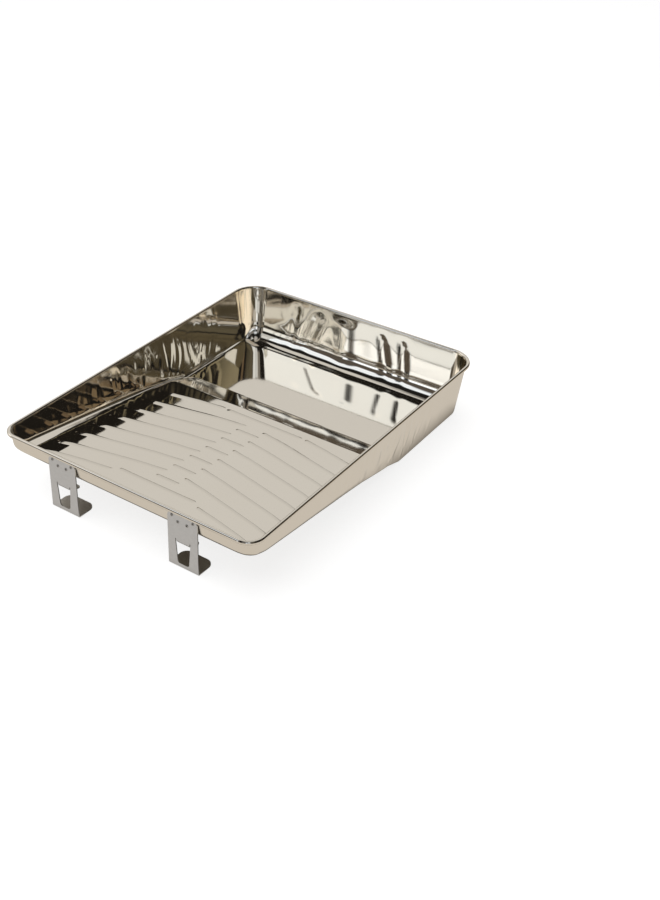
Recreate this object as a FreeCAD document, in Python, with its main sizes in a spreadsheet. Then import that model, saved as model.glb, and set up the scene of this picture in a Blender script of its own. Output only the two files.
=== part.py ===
import FreeCAD, Part

# Paint roller tray: one stamped tinplate pan, two bent legs and the small rivets that hold them.
#
# Frame: millimetres, +Z up, +X to the right seen from the legs, +Y from the legs towards the paint well.
# The origin is on the surface the tray stands on, under the centre of its rim.

import math
import os
import Sketcher

DOCUMENT = FreeCAD.newDocument("paint_roller_tray")
SHEET = DOCUMENT.addObject("Spreadsheet::Sheet", "Sizes")

SIZES = {
    # pan
    "rim_length": 395.0,
    "rim_width": 295.0,
    "rim_height": 62.0,
    "front_corner_radius": 17.0,
    "rear_corner_radius": 29.0,
    "sheet_gauge": 0.6,
    "curl_radius": 2.0,
    "curl_turn": 290.0,
    "wall_draft": 7.2,
    "wall_foot_radius": 5.0,
    # bottom line of the pan, seen from the side, outside of the sheet
    "front_wall_foot": 39.0,
    "crest_along": 25.0,
    "crest_height": 14.0,
    "well_start_along": 70.0,
    "bottom_bend_radius": 30.0,
    # sunk roll-off panel between the two side ledges
    "panel_half_top": 133.0,
    "panel_half_floor": 126.5,
    "panel_sink": 2.5,
    "panel_front_along": -180.0,
    "panel_rear_along": 40.0,
    # raised ribs on the panel
    "rib_width": 6.0,
    "rib_rise": 1.8,
    "rib_pitch": 24.8,
    "rib_first_along": 5.0,
    "rib_sweep": 13.8,
    "rib_inner_end": 12.0,
    "rib_outer_end": 116.0,
    "dash_half_length": 12.0,
    "dash_setback": 12.0,
    "bar_half_length": 44.0,
    "bar_arm_start": 52.0,
    "crest_bar_along": 22.0,
    "front_bar_along": -146.0,
    "front_arm_drop": 6.0,
    # legs
    "leg_centre": 70.5,
    "leg_width": 33.0,
    "leg_gauge": 1.0,
    "leg_height": 57.6,
    "leg_back_along": -193.9,
    "leg_corner_radius": 5.0,
    "bend_radius": 2.0,
    "foot_depth": 23.0,
    "foot_corner_radius": 8.0,
    "window_foot": 5.0,
    "window_head": 31.0,
    "window_half_foot": 6.3,
    "window_half_head": 8.4,
    "window_corner_radius": 2.5,
    "tongue_half_width": 7.4,
    "tongue_neck": 0.6,
    "tongue_bend_radius": 6.0,
    "tongue_droop": 12.0,
    "tongue_run": 11.0,
    "tongue_corner_radius": 4.0,
    # rivets
    "rivet_shank_radius": 0.9,
    "rivet_head_radius": 1.6,
    "rivet_head_rise": 0.5,
    "rivet_crown_radius": 1.1,
    "rivet_edge_rise": 0.2,
    "rivet_bore_radius": 0.6,
    "rivet_hole_radius": 1.0,
    "rivet_high_offset": 11.5,
    "rivet_high_height": 54.6,
    "rivet_low_offset": 5.0,
    "rivet_low_height": 49.8,
}


class Size:
    """A length or angle that knows its number and the spreadsheet formula behind it."""

    def __init__(self, value, text):
        self.value = value
        self.text = text

    @staticmethod
    def of(item):
        return item if isinstance(item, Size) else Size(float(item), repr(float(item)))

    def join(self, other, sign, value):
        return Size(value, "(%s %s %s)" % (self.text, sign, Size.of(other).text))

    def __add__(self, other):
        return self.join(other, "+", self.value + Size.of(other).value)

    def __sub__(self, other):
        return self.join(other, "-", self.value - Size.of(other).value)

    def __mul__(self, other):
        return self.join(other, "*", self.value * Size.of(other).value)

    def __truediv__(self, other):
        return self.join(other, "/", self.value / Size.of(other).value)

    def __neg__(self):
        return self * -1

    def tangent(self):
        return Size(math.tan(math.radians(self.value)), "tan(%s * 1 deg)" % self.text)

    def sine(self):
        return Size(math.sin(math.radians(self.value)), "sin(%s * 1 deg)" % self.text)

    def cosine(self):
        return Size(math.cos(math.radians(self.value)), "cos(%s * 1 deg)" % self.text)


def fill_sheet():
    """Write every driving size into the spreadsheet, one row each, and return them by name."""
    for row, (alias, number) in enumerate(SIZES.items(), start=1):
        SHEET.set("A%d" % row, alias)
        SHEET.set("B%d" % row, repr(number))
        SHEET.setAlias("B%d" % row, alias)
    DOCUMENT.recompute()
    return {alias: Size(SHEET.get(alias), "Sizes.%s" % alias) for alias in SIZES}


D = fill_sheet()
ZERO = Size.of(0)

# how closely an edge is matched to the place it is looked for, and the shortest edge that counts
TIGHT = 0.01
LOOSE = 0.6
SHORTEST_RUN = 0.1


def bind(item, target, size):
    """Tie a property of an object to a spreadsheet formula."""
    item.setExpression(target, Size.of(size).text)


def origin_plane(body, role):
    """One of a body's own three origin planes."""
    return next(item for item in body.Origin.OriginFeatures if item.Role == role)


def place(item, along_x=ZERO, along_y=ZERO, up=ZERO):
    """Bind an object's position to spreadsheet formulas."""
    bind(item, ".Placement.Base.x", along_x)
    bind(item, ".Placement.Base.y", along_y)
    bind(item, ".Placement.Base.z", up)


def new_body(name):
    return DOCUMENT.addObject("PartDesign::Body", name)


def body_sketch(body, name, role, lift=None):
    """An empty sketch on one of the body's origin planes, raised along that plane's normal."""
    sketch = body.newObject("Sketcher::SketchObject", name)
    sketch.AttachmentSupport = (origin_plane(body, role), [""])
    sketch.MapMode = "FlatFace"
    if lift is not None:
        bind(sketch, ".AttachmentOffset.Base.z", lift)
    return sketch


def constrain_point(sketch, geometry, vertex, point):
    """Pin one vertex of a sketch at a bound distance from the sketch's origin."""
    for kind, size in (("DistanceX", point[0]), ("DistanceY", point[1])):
        index = sketch.addConstraint(Sketcher.Constraint(kind, -1, 1, geometry, vertex, size.value))
        bind(sketch, "Constraints[%d]" % index, size)


def draw_polygon(sketch, points):
    """Closed outline of straight lines, each corner bound to the sizes it was given as."""
    points = [(Size.of(across), Size.of(up)) for across, up in points]
    corners = [FreeCAD.Vector(across.value, up.value, 0) for across, up in points]
    count = len(points)
    for index in range(count):
        sketch.addGeometry(Part.LineSegment(corners[index], corners[(index + 1) % count]), False)
    for index in range(count):
        sketch.addConstraint(Sketcher.Constraint("Coincident", index, 2, (index + 1) % count, 1))
    for index in range(count):
        constrain_point(sketch, index, 1, points[index])


def draw_rounded_rectangle(sketch, half_width, half_length, front_radius, rear_radius):
    """Outline of four lines and four arcs: the front pair of corners and the rear pair differ."""
    wide, long = half_width.value, half_length.value
    front, rear = front_radius.value, rear_radius.value
    quarter = math.pi / 2
    centres = [(wide - front, front - long, front), (wide - rear, long - rear, rear),
               (rear - wide, long - rear, rear), (front - wide, front - long, front)]
    ends = [((front - wide, -long), (wide - front, -long)), ((wide, front - long), (wide, long - rear)),
            ((wide - rear, long), (rear - wide, long)), ((-wide, long - rear), (-wide, front - long))]
    for turn, ((x, y, radius), (start, end)) in enumerate(zip(centres, ends)):
        line = Part.LineSegment(FreeCAD.Vector(*start, 0), FreeCAD.Vector(*end, 0))
        circle = Part.Circle(FreeCAD.Vector(x, y, 0), FreeCAD.Vector(0, 0, 1), radius)
        sketch.addGeometry(line, False)
        sketch.addGeometry(Part.ArcOfCircle(circle, (turn - 1) * quarter, turn * quarter), False)
    for index in range(8):
        sketch.addConstraint(Sketcher.Constraint("Tangent", index, 2, (index + 1) % 8, 1))
    for line, kind in ((0, "Horizontal"), (2, "Vertical"), (4, "Horizontal"), (6, "Vertical")):
        sketch.addConstraint(Sketcher.Constraint(kind, line))
    for line, kind, size in ((0, "DistanceY", -half_length), (2, "DistanceX", half_width),
                             (4, "DistanceY", half_length), (6, "DistanceX", -half_width)):
        index = sketch.addConstraint(Sketcher.Constraint(kind, -1, 1, line, 1, size.value))
        bind(sketch, "Constraints[%d]" % index, size)
    for arc, size in ((1, front_radius), (3, rear_radius), (5, rear_radius), (7, front_radius)):
        index = sketch.addConstraint(Sketcher.Constraint("Radius", arc, size.value))
        bind(sketch, "Constraints[%d]" % index, size)


def pad(body, sketch, length, midplane=False, reversed_way=False, taper=None):
    """Raise a sketch into a solid: length may be split evenly about the sketch's plane."""
    feature = body.newObject("PartDesign::Pad", sketch.Name + "_pad")
    feature.Profile = sketch
    bind(feature, "Length", length)
    feature.Midplane = midplane
    feature.Reversed = reversed_way
    if taper is not None:
        bind(feature, "TaperAngle", taper)
    sketch.Visibility = False
    DOCUMENT.recompute()
    return feature


def pocket(body, sketch, length):
    """Cut a sketch through the body, both ways from its plane, and check that it removed metal."""
    before = body.Shape.Volume
    feature = body.newObject("PartDesign::Pocket", sketch.Name + "_pocket")
    feature.Profile = sketch
    feature.Midplane = True
    bind(feature, "Length", length)
    sketch.Visibility = False
    DOCUMENT.recompute()
    if not body.Shape.Volume < before:
        raise RuntimeError("%s cuts nothing" % feature.Name)
    return feature


def fillet(body, name, radius, edges):
    """Round the given edges of the body's latest feature."""
    base = body.Tip
    names = ["Edge%d" % number for number, edge in enumerate(base.Shape.Edges, start=1)
             if any(edge.isSame(wanted) for wanted in edges)]
    if not names:
        raise RuntimeError("%s finds no edge" % name)
    feature = body.newObject("PartDesign::Fillet", name)
    feature.Base = (base, names)
    bind(feature, "Radius", radius)
    DOCUMENT.recompute()
    return feature


def near(first, second, slack=TIGHT):
    return abs(first - second) < slack


def lies_along(edge, axis):
    """True for a straight edge that runs along one of the axes x, y or z."""
    ends = edge.Vertexes
    if len(ends) != 2:
        return False
    run = ends[1].Point - ends[0].Point
    return near(abs(getattr(run, axis)), run.Length) and run.Length > SHORTEST_RUN


# ---------------------------------------------------------------- pan

WALL_INSET = D["curl_radius"] * 2 - D["sheet_gauge"]
CURL_HEIGHT = D["rim_height"] - D["curl_radius"]
DRAFT_SLOPE = D["wall_draft"].tangent()
RAMP_START = WALL_INSET + (CURL_HEIGHT - D["front_wall_foot"]) * DRAFT_SLOPE - D["rim_length"] / 2
RAMP_FALL = (D["front_wall_foot"] - D["crest_height"]) / (D["crest_along"] - RAMP_START)
BEYOND = Size.of(30)
OVERLAP = Size.of(2)
RIB_ROWS = 6
# a face is part of the pan's bottom, not of its walls, where its normal points this far up or down
BOTTOM_NORMAL = 0.7
# and where it lies at least this far below the top of the form
BELOW_TOP = 1
LEG_FRONT = D["leg_back_along"] - D["leg_gauge"]
LEG_CENTRES = {"left": -D["leg_centre"], "right": D["leg_centre"]}
DRILL_LENGTH = Size.of(6)


def ramp_height(along, lift=ZERO):
    """Height of the ramp line at a distance along the tray, raised by lift."""
    return D["crest_height"] + (D["crest_along"] - along) * RAMP_FALL + lift


def wall_foot_edges(shape):
    """Edges that border the bottom of a pan form on one side only: its foot all the way round."""
    bottoms = []
    for face in shape.Faces:
        low, high, left, right = face.ParameterRange
        slope = abs(face.normalAt((low + high) / 2, (left + right) / 2).z)
        if slope > BOTTOM_NORMAL and face.BoundBox.ZMin < CURL_HEIGHT.value - BELOW_TOP:
            bottoms.append(face)
    return [edge for edge in shape.Edges
            if sum(any(edge.isSame(side) for side in face.Edges) for face in bottoms) == 1]


def pan_form(name, skin):
    """Filled shape of the pan, drawn in by skin all over: its outside, or the space inside it."""
    body = new_body(name)
    inset = WALL_INSET + skin
    outline = body_sketch(body, name + "_outline", "XY_Plane", CURL_HEIGHT)
    draw_rounded_rectangle(
        outline, D["rim_width"] / 2 - inset, D["rim_length"] / 2 - inset,
        D["front_corner_radius"] - inset, D["rear_corner_radius"] - inset)
    pad(body, outline, CURL_HEIGHT - skin, reversed_way=True, taper=-D["wall_draft"])

    below = body_sketch(body, name + "_below", "YZ_Plane")
    front = D["rim_length"] / -2
    draw_polygon(below, [
        (front, ramp_height(front, skin)),
        (D["crest_along"], D["crest_height"] + skin),
        (D["well_start_along"], skin),
        (D["well_start_along"], -BEYOND),
        (front, -BEYOND)])
    pocket(body, below, D["rim_width"] + BEYOND)
    bends = [edge for edge in body.Tip.Shape.Edges if lies_along(edge, "x")
             and any(near(edge.CenterOfMass.y, D[bend].value)
                     for bend in ("crest_along", "well_start_along"))]
    fillet(body, name + "_bends", D["bottom_bend_radius"] - skin, bends)
    fillet(body, name + "_foot", D["wall_foot_radius"] - skin, wall_foot_edges(body.Tip.Shape))

    sections = []
    front_end = D["panel_front_along"] - D["sheet_gauge"] + skin
    for end, along in (("front", front_end), ("rear", D["panel_rear_along"])):
        section = body_sketch(body, "%s_panel_%s" % (name, end), "XZ_Plane", -along)
        ledge = ramp_height(along, skin)
        floor = ledge - D["panel_sink"]
        draw_polygon(section, [
            (-D["panel_half_floor"], floor), (D["panel_half_floor"], floor),
            (D["panel_half_top"], ledge), (D["panel_half_top"], ledge + OVERLAP),
            (-D["panel_half_top"], ledge + OVERLAP), (-D["panel_half_top"], ledge)])
        sections.append(section)
    panel = body.newObject("PartDesign::AdditiveLoft", name + "_panel")
    panel.Profile = sections[0]
    panel.Sections = sections[1:]
    panel.Ruled = True
    DOCUMENT.recompute()
    return body


def draw_curl_section(sketch):
    """Sheet rolled outward from the top of the wall: most of a ring, open underneath."""
    across, up = -(D["rim_length"] / 2 - D["curl_radius"]), CURL_HEIGHT
    radii = (D["curl_radius"], D["curl_radius"] - D["sheet_gauge"])
    turn = math.radians(D["curl_turn"].value)
    centre = FreeCAD.Vector(across.value, up.value, 0)
    for radius in radii:
        circle = Part.Circle(centre, FreeCAD.Vector(0, 0, 1), radius.value)
        sketch.addGeometry(Part.ArcOfCircle(circle, 0, turn), False)
    for angle in (0, turn):
        ray = FreeCAD.Vector(math.cos(angle), math.sin(angle), 0)
        ends = [centre + ray * radius.value for radius in reversed(radii)]
        sketch.addGeometry(Part.LineSegment(*ends), False)
    outer, inner, start, finish = 0, 1, 2, 3
    for first, first_end, second, second_end in (
            (start, 2, outer, 1), (start, 1, inner, 1), (finish, 2, outer, 2), (finish, 1, inner, 2),
            (inner, 3, outer, 3)):
        sketch.addConstraint(Sketcher.Constraint("Coincident", first, first_end, second, second_end))
    constrain_point(sketch, outer, 3, (across, up))
    for arc, radius in enumerate(radii):
        index = sketch.addConstraint(Sketcher.Constraint("Radius", arc, radius.value))
        bind(sketch, "Constraints[%d]" % index, radius)
    sketch.addConstraint(Sketcher.Constraint("Horizontal", start))
    index = sketch.addConstraint(Sketcher.Constraint("Angle", finish, turn - 2 * math.pi))
    sketch.setExpression("Constraints[%d]" % index, "(Sizes.curl_turn - 360) * 1 deg")


def rim_curl():
    """The rolled edge: its section swept round the rim."""
    body = new_body("rim_curl")
    spine = body_sketch(body, "curl_path", "XY_Plane", CURL_HEIGHT)
    inset = D["curl_radius"]
    draw_rounded_rectangle(
        spine, D["rim_width"] / 2 - inset, D["rim_length"] / 2 - inset,
        D["front_corner_radius"] - inset, D["rear_corner_radius"] - inset)
    section = body_sketch(body, "curl_section", "YZ_Plane")
    draw_curl_section(section)
    sweep = body.newObject("PartDesign::AdditivePipe", "curl_sweep")
    sweep.Profile = section
    sweep.Spine = (spine, [])
    sweep.Transition = "Right corner"
    DOCUMENT.recompute()
    return body


# ---------------------------------------------------------------- ribs


def slab(name, low, high):
    """Tilted slab under or over the panel, between two heights above the outside of its floor."""
    sketch = DOCUMENT.addObject("Sketcher::SketchObject", name + "_side")
    facing_x = FreeCAD.Rotation(FreeCAD.Vector(1, 1, 1), 120)
    sketch.Placement = FreeCAD.Placement(FreeCAD.Vector(), facing_x)
    front, rear = D["panel_front_along"] + D["rib_width"], D["crest_along"] + D["rib_width"]
    floor = -D["panel_sink"]
    draw_polygon(sketch, [
        (front, ramp_height(front, floor + low)), (rear, ramp_height(rear, floor + low)),
        (rear, ramp_height(rear, floor + high)), (front, ramp_height(front, floor + high))])
    return extrude(name, sketch, D["panel_half_top"] * 2, symmetric=True)


def extrude(name, sketch, length, symmetric=False):
    """Solid made by moving a free sketch along its own normal."""
    solid = DOCUMENT.addObject("Part::Extrusion", name)
    solid.Base = sketch
    solid.DirMode = "Normal"
    solid.Solid = True
    solid.Symmetric = symmetric
    bind(solid, "LengthFwd", length)
    sketch.Visibility = False
    return solid


def draw_slot(sketch, half_length, half_width):
    """Slot outline along the sketch's X, with half-round ends centred half_length each way."""
    reach, radius = half_length.value, half_width.value
    quarter = math.pi / 2
    for side in (1, -1):
        circle = Part.Circle(FreeCAD.Vector(side * reach, 0, 0), FreeCAD.Vector(0, 0, 1), radius)
        sketch.addGeometry(Part.ArcOfCircle(circle, -side * quarter, (2 - side) * quarter), False)
        line = Part.LineSegment(FreeCAD.Vector(side * reach, side * radius, 0),
                                FreeCAD.Vector(-side * reach, side * radius, 0))
        sketch.addGeometry(line, False)
    for index in range(4):
        sketch.addConstraint(Sketcher.Constraint("Tangent", index, 2, (index + 1) % 4, 1))
    constrain_point(sketch, 0, 3, (half_length, ZERO))
    constrain_point(sketch, 2, 3, (-half_length, ZERO))
    index = sketch.addConstraint(Sketcher.Constraint("Radius", 0, radius))
    bind(sketch, "Constraints[%d]" % index, half_width)


def rib_layout():
    """Every rib as name, centre across, centre along, half length between its end centres, turn."""
    sweep = D["rib_sweep"]
    ribs = []

    def add_arms(name, start, along):
        middle = (start + D["rib_outer_end"]) / 2
        half_run = (D["rib_outer_end"] - start) / 2
        for side, sign in (("left", -1), ("right", 1)):
            ribs.append(("%s_%s" % (name, side), middle * sign, along - half_run * sweep.tangent(),
                         half_run / sweep.cosine(), sweep * -sign))

    for row in range(RIB_ROWS):
        along = D["rib_first_along"] - D["rib_pitch"] * row
        add_arms("row%d" % (row + 1), D["rib_inner_end"], along)
        ribs.append(("dash%d" % (row + 1), ZERO, along - D["dash_setback"], D["dash_half_length"], ZERO))
    for name, along, drop in (("crest", D["crest_bar_along"], ZERO),
                              ("front", D["front_bar_along"], D["front_arm_drop"])):
        ribs.append((name + "_bar", ZERO, along, D["bar_half_length"], ZERO))
        add_arms(name, D["bar_arm_start"], along - drop)
    return ribs


def rib_prisms(name, width):
    """One upright prism for each rib, gathered in a compound."""
    prisms = []
    for rib, across, along, half_length, turn in rib_layout():
        sketch = DOCUMENT.addObject("Sketcher::SketchObject", "%s_%s" % (name, rib))
        draw_slot(sketch, half_length, width / 2)
        bind(sketch, ".Placement.Base.x", across)
        bind(sketch, ".Placement.Base.y", along)
        bind(sketch, ".Placement.Rotation.Angle", turn)
        prisms.append(extrude(sketch.Name + "_prism", sketch, D["rim_height"]))
    group = DOCUMENT.addObject("Part::Compound", name + "_prisms")
    group.Links = prisms
    return group


def combine(kind, name, base, tool):
    """Boolean of two objects: Cut, Fuse or Common."""
    result = DOCUMENT.addObject("Part::" + kind, name)
    result.Base = base
    result.Tool = tool
    return result


def rivet_spots():
    """The four rivets of one leg: name, place across from the leg's centre, height."""
    return [("high_left", -D["rivet_high_offset"], D["rivet_high_height"]),
            ("high_right", D["rivet_high_offset"], D["rivet_high_height"]),
            ("low_left", -D["rivet_low_offset"], D["rivet_low_height"]),
            ("low_right", D["rivet_low_offset"], D["rivet_low_height"])]


def rivet_drills():
    """Round tools that bore the front wall of the pan for every rivet."""
    tools = []
    for side, centre in LEG_CENTRES.items():
        for spot, across, height in rivet_spots():
            tool = DOCUMENT.addObject("Part::Cylinder", "drill_%s_%s" % (side, spot))
            bind(tool, "Radius", D["rivet_hole_radius"])
            bind(tool, "Height", DRILL_LENGTH)
            turned = FreeCAD.Rotation(FreeCAD.Vector(1, 0, 0), -90)
            tool.Placement = FreeCAD.Placement(FreeCAD.Vector(), turned)
            place(tool, centre + across, LEG_FRONT, height)
            tools.append(tool)
    group = DOCUMENT.addObject("Part::Compound", "rivet_drills")
    group.Links = tools
    return group


def tray_pan():
    """The pan: one stamped sheet with sunk panel, hollow ribs, rolled rim and rivet holes."""
    outside = pan_form("pan_outside", ZERO)
    inside = pan_form("pan_inside", D["sheet_gauge"])
    shell = combine("Cut", "pan_shell", outside, inside)
    rimmed = combine("Fuse", "rimmed_shell", shell, rim_curl())
    over_panel = slab("rib_slab", D["sheet_gauge"] / 2, D["sheet_gauge"] + D["rib_rise"])
    raised = combine("Common", "raised_ribs", over_panel, rib_prisms("rib", D["rib_width"]))
    ribbed = combine("Fuse", "ribbed_pan", rimmed, raised)
    under_panel = slab("hollow_slab", -D["rib_rise"], D["rib_rise"])
    inside_width = D["rib_width"] - D["sheet_gauge"] * 2
    hollows = combine("Common", "rib_hollows", under_panel, rib_prisms("hollow", inside_width))
    pressed = combine("Cut", "pressed_pan", ribbed, hollows)
    return combine("Cut", "tray_pan", pressed, rivet_drills())


# ---------------------------------------------------------------- legs


def leg(side, centre):
    """Leg bent from one strip: upright plate, foot turned back, and a tongue pushed out of its window."""
    name = side + "_leg"
    body = new_body(name)
    gauge, front, back = D["leg_gauge"], LEG_FRONT, D["leg_back_along"]
    through = gauge * 4
    heel = front + D["foot_depth"]
    profile = body_sketch(body, name + "_profile", "YZ_Plane")
    draw_polygon(profile, [(front, ZERO), (heel, ZERO), (heel, gauge), (back, gauge),
                           (back, D["leg_height"]), (front, D["leg_height"])])
    pad(body, profile, D["leg_width"], midplane=True)

    window = body_sketch(body, name + "_window", "XZ_Plane", -back)
    draw_polygon(window, [
        (-D["window_half_foot"], D["window_foot"]), (D["window_half_foot"], D["window_foot"]),
        (D["window_half_head"], D["window_head"]), (-D["window_half_head"], D["window_head"])])
    pocket(body, window, through)

    droop = D["tongue_droop"]
    bend = D["tongue_bend_radius"] * ((Size.of(90) - droop) / 2).tangent()
    corner = D["window_head"] - D["tongue_neck"] - bend
    run = bend + D["tongue_run"]
    tip = (front + run * droop.cosine(), corner - run * droop.sine())
    tongue = body_sketch(body, name + "_tongue", "YZ_Plane")
    inner_corner = corner + gauge / droop.cosine() - gauge * droop.tangent()
    draw_polygon(tongue, [
        (front, D["window_head"] + gauge), (front, corner), tip,
        (tip[0] + gauge * droop.sine(), tip[1] + gauge * droop.cosine()),
        (back, inner_corner), (back, D["window_head"] + gauge)])
    pad(body, tongue, D["tongue_half_width"] * 2, midplane=True)

    holes = body_sketch(body, name + "_holes", "XZ_Plane", -back)
    for index, (spot, across, height) in enumerate(rivet_spots()):
        point = FreeCAD.Vector(across.value, height.value, 0)
        holes.addGeometry(Part.Circle(point, FreeCAD.Vector(0, 0, 1), D["rivet_hole_radius"].value), False)
        constrain_point(holes, index, 3, (across, height))
        radius = holes.addConstraint(Sketcher.Constraint("Radius", index, D["rivet_hole_radius"].value))
        bind(holes, "Constraints[%d]" % radius, D["rivet_hole_radius"])
    pocket(body, holes, through)

    def straight_edges(axis, along, up):
        """Straight edges that run along an axis through a point of the side view."""
        return [edge for edge in body.Tip.Shape.Edges if lies_along(edge, axis)
                and (along is None or near(edge.CenterOfMass.y, along.value, LOOSE))
                and (up is None or near(edge.CenterOfMass.z, up.value, LOOSE))]

    fillet(body, name + "_heel_outside", D["bend_radius"], straight_edges("x", front, ZERO)[:1])
    fillet(body, name + "_heel_inside", D["bend_radius"] - gauge, straight_edges("x", back, gauge)[:1])
    fillet(body, name + "_tongue_inside", D["tongue_bend_radius"] - gauge,
           straight_edges("x", back, inner_corner))
    fillet(body, name + "_tongue_outside", D["tongue_bend_radius"], straight_edges("x", front, corner))
    fillet(body, name + "_top_corners", D["leg_corner_radius"], straight_edges("y", None, D["leg_height"]))
    fillet(body, name + "_foot_corners", D["foot_corner_radius"], straight_edges("z", heel, gauge / 2))
    fillet(body, name + "_window_corners", D["window_corner_radius"],
           straight_edges("y", None, D["window_foot"]))
    tips = [edge for edge in body.Tip.Shape.Edges if near(edge.Length, gauge.value)
            and near(edge.CenterOfMass.y, tip[0].value, LOOSE)
            and near(edge.CenterOfMass.z, tip[1].value, LOOSE)]
    fillet(body, name + "_tongue_corners", D["tongue_corner_radius"], tips)
    place(body, centre)
    return body


# ---------------------------------------------------------------- rivets


def wall_inside(height):
    """Where the inner face of the drafted front wall stands, along the tray, at a height."""
    inset = WALL_INSET + D["sheet_gauge"] + (CURL_HEIGHT - height) * DRAFT_SLOPE
    return inset - D["rim_length"] / 2


def rivet(name, centre, height):
    """Small tubular rivet: head on the leg, shank through leg and wall, rolled end inside the pan."""
    bore, shank, head = D["rivet_bore_radius"], D["rivet_shank_radius"], D["rivet_head_radius"]
    rise = D["rivet_head_rise"]
    grip = wall_inside(height - head) - LEG_FRONT
    crown, edge = D["rivet_crown_radius"], D["rivet_edge_rise"]
    sketch = DOCUMENT.addObject("Sketcher::SketchObject", name + "_half_section")
    draw_polygon(sketch, [
        (bore, -rise), (crown, -rise), (head, -edge), (head, ZERO), (shank, ZERO), (shank, grip),
        (head, grip), (head, grip + edge), (crown, grip + rise), (bore, grip + rise)])
    solid = DOCUMENT.addObject("Part::Revolution", name)
    solid.Source = sketch
    solid.Axis = FreeCAD.Vector(0, 1, 0)
    solid.Angle = 360
    solid.Solid = True
    sketch.Visibility = False
    place(solid, centre, LEG_FRONT, height)
    return solid


def leg_rivets(side, centre):
    """The four rivets of one leg, as one group of separate solids."""
    group = DOCUMENT.addObject("Part::Compound", side + "_leg_rivets")
    group.Links = [rivet("%s_rivet_%s" % (side, spot), centre + across, height)
                   for spot, across, height in rivet_spots()]
    return group


# ---------------------------------------------------------------- assembly


def check_and_write(pieces):
    """Stop if any object failed or any piece is not a sound solid, then write each piece's file."""
    DOCUMENT.recompute()
    for item in DOCUMENT.Objects:
        if "Invalid" in item.State or "Error" in item.State:
            raise RuntimeError("%s failed: %s" % (item.Name, item.State))
    os.makedirs("parts", exist_ok=True)
    for name, item in pieces.items():
        item.Label = name
        if item.Shape.isNull() or not item.Shape.isValid() or not item.Shape.Solids:
            raise RuntimeError("%s has no sound shape" % name)
        print(name, "solids", len(item.Shape.Solids), "volume", round(item.Shape.Volume, 1),
              item.Shape.optimalBoundingBox())
        item.Shape.exportStep("parts/%s.step" % name)


PIECES = {"tray_pan": tray_pan()}
for leg_side, leg_centre in LEG_CENTRES.items():
    PIECES[leg_side + "_leg"] = leg(leg_side, leg_centre)
    PIECES[leg_side + "_leg_rivets"] = leg_rivets(leg_side, leg_centre)
check_and_write(PIECES)
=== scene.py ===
"""Looks of the paint roller tray: a mirror-bright tinplate pan on two zinc-plated legs.

Lengths in this file are millimetres unless a name says otherwise, and become metres where a mesh is made.
Axes are the part's own: +X right, +Y towards the paint well, +Z up, the floor at z = 0.
"""
import math
import random

import bpy
import numpy as np
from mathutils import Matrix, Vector


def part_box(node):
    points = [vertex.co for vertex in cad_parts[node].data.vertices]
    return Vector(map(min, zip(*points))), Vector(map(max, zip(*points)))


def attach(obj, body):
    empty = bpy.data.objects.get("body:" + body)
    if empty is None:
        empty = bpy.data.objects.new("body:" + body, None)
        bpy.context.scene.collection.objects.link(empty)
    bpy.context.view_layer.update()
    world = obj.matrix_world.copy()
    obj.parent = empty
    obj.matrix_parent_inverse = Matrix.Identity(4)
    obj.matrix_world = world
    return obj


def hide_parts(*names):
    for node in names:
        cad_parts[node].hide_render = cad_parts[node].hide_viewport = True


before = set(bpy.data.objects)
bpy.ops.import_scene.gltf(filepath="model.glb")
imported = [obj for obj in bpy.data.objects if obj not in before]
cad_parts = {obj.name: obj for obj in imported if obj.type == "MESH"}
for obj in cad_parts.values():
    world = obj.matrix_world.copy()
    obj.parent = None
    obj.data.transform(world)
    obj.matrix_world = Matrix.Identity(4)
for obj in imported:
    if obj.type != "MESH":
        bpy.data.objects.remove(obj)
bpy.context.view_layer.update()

MM = 0.001
PAN_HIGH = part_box("tray_pan")[1]
HALF_WIDTH = PAN_HIGH.x / MM
HALF_LENGTH = PAN_HIGH.y / MM
RIM_TOP = PAN_HIGH.z / MM

# ---------------------------------------------------------------- pan: sizes

# sheet, rolled rim, corners and walls
GAUGE = 0.6
CURL_RADIUS = 2.0
CURL_TURN = math.radians(290)
CURL_HEIGHT = RIM_TOP - CURL_RADIUS
FRONT_RADIUS = 17.0
REAR_RADIUS = 29.0
DRAFT = math.radians(7.2)
# where the rim's straight sides end
FRONT_END = -(HALF_LENGTH - FRONT_RADIUS)
REAR_END = HALF_LENGTH - REAR_RADIUS
FRONT_HALF = HALF_WIDTH - FRONT_RADIUS
REAR_HALF = HALF_WIDTH - REAR_RADIUS

# bottom line of the pan along its length, on the inside of the sheet
CREST_ALONG, CREST_HEIGHT = 25.0, 14.6
RAMP_FALL = 0.1155
DROP_FALL = 0.311
WELL_HEIGHT = GAUGE
PANEL_SINK = 2.5
CREST_BLEND = 0.5
WELL_BLEND = 0.5

# the panel's edge, where the sheet starts to climb to the walls
PANEL_HALF_FRONT, PANEL_HALF_REAR = 131.6, 131.8
PANEL_FRONT = -177.0
PANEL_CORNER = 10.0
EDGE_BLEND = 1.0
# slope from the panel's edge out to the side walls: up at the front, down to the foot beside the crest
EDGE_ALONG = [-190.0, -150.0, -90.0, -45.0, -10.0, 30.0]
EDGE_SLOPE = [0.40, 0.39, 0.34, 0.24, 0.02, -0.60]
DROP_SAG_FROM, DROP_SAG, DROP_SAG_BLEND = 130.0, 0.45, 2.0

# radius where the walls meet the bottom
FOOT_FRONT, FOOT_REAR = 3.0, 16.5
FOOT_SIDE_ALONG = [-190.0, -125.0, -70.0, -15.0, 30.0, 60.0, 130.0]
FOOT_SIDE = [1.6, 1.8, 2.4, 3.8, 3.2, 2.4, 3.2]
# part of a rear corner's turn, in degrees, over which the radius grows
FOOT_TURN = (5.0, 55.0)
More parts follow.
